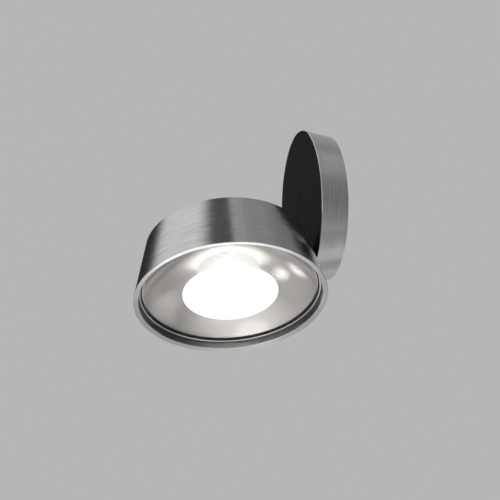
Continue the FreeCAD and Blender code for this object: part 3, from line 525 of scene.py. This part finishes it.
def satin_reflector(name):
    """Satin anodised bowl, spun, with very faint rings."""
    paint = Paint(name)
    at = Turning(paint, HEAD_CENTRE, HEAD_AXIS)
    rings = at.rings(at.radius, fine=12000.0, turn=0.8)
    cloud = paint.noise(paint.place(), 90.0, 2.0)
    shader = paint.node("BsdfPrincipled", None, {
        "Base Color": paint.colour(cloud, (0.78, 0.75, 0.73, 1.0), (0.85, 0.82, 0.80, 1.0)),
        "Metallic": 1.0,
        "Roughness": paint.spread(rings, 0.14, 0.18),
        "Normal": at.grooved((rings - 0.5) * 0.25),
    })
    return paint.finish(shader)


# The place and the axis that a turned piece is turned round
BASE_TURNED = (ORIGIN, BASE_AXIS)
HEAD_TURNED = (HEAD_CENTRE, HEAD_AXIS)

# Pairs of colours: dull and bright, or lacquer alone and over copper
BRASS = ((0.42, 0.28, 0.12, 1.0), (0.74, 0.55, 0.27, 1.0))
GREEN_LACQUER = ((0.010, 0.085, 0.035, 1.0), (0.022, 0.155, 0.060, 1.0))
WHITE_LACQUER = (grey(0.74), grey(0.66, 0.02))

FINISHES = {
    "matt_black_paint": powder_coat("black_powder_coat"),
    "matt_black_steel": powder_coat("black_powder_coat_arm"),
    "zinc_steel": zinc_plate("zinc_plated_steel"),
    "black_screw_steel": plain_metal("blackened_steel", grey(0.03), 0.42),
    "cast_aluminium": cast_metal("cast_aluminium"),
    "satin_reflector": satin_reflector("satin_bowl"),
    "polished_ring": turned_metal("polished_ring", *HEAD_TURNED, grey(0.84), grey(0.92),
                                  rough=0.33, slope=0.03),
    "clear_glass": clear_glass("clear_glass"),
    "frosted_glass": frosted_layer("frosted_glow"),
    "black_rubber": rubber("black_rubber"),
    "bearing_brass": turned_metal("bearing_brass", *BASE_TURNED, *BRASS, rough=0.3, slope=0.1),
    "circuit_board": printed_board("green_board", *BASE_TURNED, *GREEN_LACQUER),
    "component_plastic": driver_parts("driver_parts"),
    "white_plastic": plain_metal("moulded_white", grey(0.8), 0.4, metallic=0.0),
    "friction_plastic": plain_metal("friction_plastic", grey(0.7, 0.02), 0.4, metallic=0.0),
    "phosphor": emitter("emitter_glow"),
}
OWN_FINISHES = {
    "led_board": printed_board("white_board", *HEAD_TURNED, *WHITE_LACQUER),
    "hinge_pin": turned_metal("ground_pin", *BASE_TURNED, grey(0.55), grey(0.7),
                              rough=0.2, slope=0.02),
    "base_shell": brushed_aluminium("brushed_base", *BASE_TURNED, tone=1.03, spread=0.045),
    "head_shell": brushed_aluminium("brushed_head", *HEAD_TURNED, tone=0.93, spread=0.075),
}
for part in frame["record"]["subparts"]:
    piece = NODES[part["node"]]
    finish = OWN_FINISHES.get(part["node"]) or FINISHES[part["material_slot"]]
    piece.data.materials.clear()
    piece.data.materials.append(finish)


# The studio's floor: its height and the radii of its rings in metres, the points in a ring,
# and the radii up to which the lamp's shadow is kept and from which it is gone
FLOOR_HEIGHT = -0.42
FLOOR_RADII = (0.0001, 0.5, 1.0, 2.0, 3.0)
RING_POINTS = 96
SHADOW_KEPT = 0.45
SHADOW_GONE = 0.95


def floor_paint():
    """Pale grey paper that keeps the lamp's shadow and turns to one flat grey farther out."""
    paint = Paint("studio_paper")
    place = paint.place()
    x = paint.along(place, RIGHT)
    y = paint.along(place, BACK)
    under = paint.smooth((x * x + y * y).root(), SHADOW_GONE, SHADOW_KEPT)
    paper = paint.node("BsdfDiffuse", None, {"Color": grey(PAPER_SHEET)})
    flat = paint.node("Emission", None, {"Color": grey(PAPER), "Strength": 1.0})
    sheet = paint.mixed(paint.ray("Camera") * (1 - under), paper, flat)
    # metal and glass look straight through the paper at the room's own grey
    through = paint.ray("Glossy").largest(paint.ray("Transmission"))
    return paint.finish(paint.mixed(through, sheet, paint.node("BsdfTransparent")))


def floor_sheet():
    """Sheet of paper: z is the floor's height, and its points lie in rings round its centre."""
    turns = np.linspace(0.0, 2 * np.pi, RING_POINTS + 1)[:-1]
    r, t = np.meshgrid(np.array(FLOOR_RADII), turns, indexing="ij")
    height = np.full_like(r, FLOOR_HEIGHT)
    points = np.stack([r * np.cos(t), r * np.sin(t), height], -1).reshape(-1, 3)
    rows, columns = r.shape
    i, j = np.meshgrid(np.arange(rows - 1), np.arange(columns), indexing="ij")
    k = (j + 1) % columns
    faces = np.stack([i * columns + j, (i + 1) * columns + j, (i + 1) * columns + k,
                      i * columns + k], -1).reshape(-1, 4)
    mesh = bpy.data.meshes.new("floor")
    mesh.from_pydata(points.tolist(), [], faces.tolist())
    sheet = bpy.data.objects.new("floor", mesh)
    bpy.context.scene.collection.objects.link(sheet)
    mesh.materials.append(floor_paint())
    return sheet


floor_sheet()

# Angles round the head's axis in degrees: where the long softbox starts and is full, and
# where it is gone and still full
SOFTBOX_START = (30.0, 60.0)
SOFTBOX_END = (140.0, 118.0)

# The room's levels: the long softbox, the wall, and by how much the wall is paler or darker,
# partly by painted shade of the lamp
SOFTBOX_LEVEL = 0.685
WALL_LEVEL = 0.27
PALER_LOW = 0.12
PALER_AT_SIDES = 0.12
DARKER_RIGHT = 0.09
DARKER_HIGH = 0.02
PAINTED_SHADE_BEHIND = 0.23
SHADOW_EDGE = 0.09

# Windows: the way to each, the angles from it where it starts and where it is full, in
# degrees, and what it adds to the room's level
WINDOWS = [
    ((0.881, -0.25, -0.40), 63.0, 11.0, 0.40),
    ((0.80, -0.45, -0.40), 22.0, 9.0, 0.40),
    ((-0.33, -0.195, -0.922), 7.0, 4.5, 1.3),
    ((-0.61, -0.26, -0.75), 7.0, 4.0, 2.0),
    ((0.04, 0.04, -1.0), 9.0, 3.0, 0.38),
    ((-0.625, 0.215, -0.755), 7.0, 3.5, 1.25),
    ((-0.53, 0.26, -0.81), 14.0, 6.0, 0.18),
    ((0.12, 0.80, -0.58), 24.0, 8.0, 0.18),
    ((0.47, 0.58, -0.66), 16.0, 5.0, -0.09),
    ((0.16, 0.57, 0.80), 26.0, 7.0, 0.09),
]


def softbox_slice(paint, way):
    """Share of the long softbox in a way: a slice between two planes through the head's axis.

    Its edges show on the head's side as straight bands along the cone.
    """
    hinge_way = (math.cos(SWIVEL_IN_USE), 0.0, math.sin(SWIVEL_IN_USE))
    front_way = np.cross(HEAD_AXIS, hinge_way)
    round_head = paint.along(way, front_way).angle_from(paint.along(way, hinge_way))
    start = paint.smooth(round_head, *map(math.radians, SOFTBOX_START))
    end = paint.smooth(round_head, *map(math.radians, SOFTBOX_END))
    return start * end


def wall_level(paint, x, y, z):
    """Level of the wall behind the lamp: paler low down and at its sides, darker in patches of
    painted shade.
    """
    wall = (WALL_LEVEL - x * DARKER_RIGHT + paint.smooth(z, -0.2, -0.75) * PALER_LOW
            - paint.smooth(z, 0.55, 0.85) * DARKER_HIGH
            + paint.smooth(y, 0.42, 0.08) * PALER_AT_SIDES)
    # painted shade: the lamp's own shade on the wall, up to the left
    painted_shade_corner = paint.smooth(y, 0.47, 0.62) * paint.smooth(z, 0.2, 0.4) * (
        paint.smooth(x, -0.05, -0.35) * 0.08 + paint.smooth(x, -0.42, -0.62) * 0.17)
    # the edge of the lamp's own shadow, down on the wall
    below = paint.smooth(y, 0.4, 0.5) * paint.smooth(z, -0.6, -0.75)
    lit = paint.smooth(x, -0.13, -0.10) * paint.smooth(x, 0.35, 0.05)
    shaded = paint.smooth(x, -0.10, -0.13) * paint.smooth(x, -0.65, -0.35)
    shadow = below * (lit * SHADOW_EDGE - shaded * SHADOW_EDGE)
    # painted shadow of the lamp on the wall right behind it
    behind = paint.smooth(y, 0.70, 0.84) * paint.smooth(z, -0.60, -0.40)
    return wall - painted_shade_corner + shadow - behind * PAINTED_SHADE_BEHIND


def studio_world():
    """Room light by direction: a dim sky, a long softbox, a pale floor and wall, and windows.

    The camera sees none of it, only the flat grey of the paper.
    """
    paint = Paint("studio", bpy.data.worlds, "ShaderNodeOutputWorld")
    way = paint.node("TexCoord", out="Generated")
    x = paint.along(way, RIGHT)
    y = paint.along(way, BACK)
    z = paint.along(way, UP)
    sky = paint.smooth(z, 0.0, 1.0, 0.02, 0.09)
    room = sky + softbox_slice(paint, way) * SOFTBOX_LEVEL
    on_floor = paint.smooth(z, -0.12, -0.5)
    room = room * (1 - on_floor) + on_floor * PAPER
    on_wall = paint.smooth(y, 0.0, 0.08)
    level = room * (1 - on_wall) + wall_level(paint, x, y, z) * on_wall
    for to_window, outer, inner, bright in WINDOWS:
        to_window = np.array(to_window) / np.linalg.norm(to_window)
        near = paint.smooth(paint.along(way, to_window), math.cos(math.radians(outer)),
                            math.cos(math.radians(inner)))
        level = level + near * bright
    room = paint.node("Background", None, {"Color": paint.joined(level, level, level)})
    flat = paint.node("Background", None, {"Color": grey(PAPER)})
    bpy.context.scene.world = paint.finish(paint.mixed(paint.ray("Camera"), room, flat))


studio_world()


def softbox(name, place, target, side, power):
    """Square area lamp that faces a point and isn't mirrored in metal or glass."""
    lamp = bpy.data.lights.new(name, "AREA")
    lamp.shape = "RECTANGLE"
    lamp.size = side
    lamp.size_y = side
    lamp.energy = power
    holder = bpy.data.objects.new(name, lamp)
    bpy.context.scene.collection.objects.link(holder)
    holder.location = place
    holder.rotation_euler = (Vector(target) - Vector(place)).to_track_quat("-Z", "Y").to_euler()
    holder.visible_glossy = False


softbox("key_softbox", (1.0, -0.78, 0.67), target=(0.02, -0.06, -0.02), side=3.2, power=30.0)

# The camera stands level, in front and to the right of the lamp
SENSOR_WIDTH = 36.0
FOCAL_PIXELS = 1180.0
PICTURE_PIXELS = 500.0
CAMERA_PLACE = (0.6906499, -0.2020638, -0.0252499)
CAMERA_LEVEL = math.radians(90.0)
CAMERA_HEADING = math.radians(77.4386)

camera_data = bpy.data.cameras.new("camera")
camera_data.sensor_width = SENSOR_WIDTH
camera_data.lens = SENSOR_WIDTH * FOCAL_PIXELS / PICTURE_PIXELS
camera = bpy.data.objects.new("camera", camera_data)
bpy.context.scene.collection.objects.link(camera)
camera.location = CAMERA_PLACE
camera.rotation_euler = (CAMERA_LEVEL, 0.0, CAMERA_HEADING)
bpy.context.scene.camera = camera

bpy.context.scene.view_settings.view_transform = "Standard"
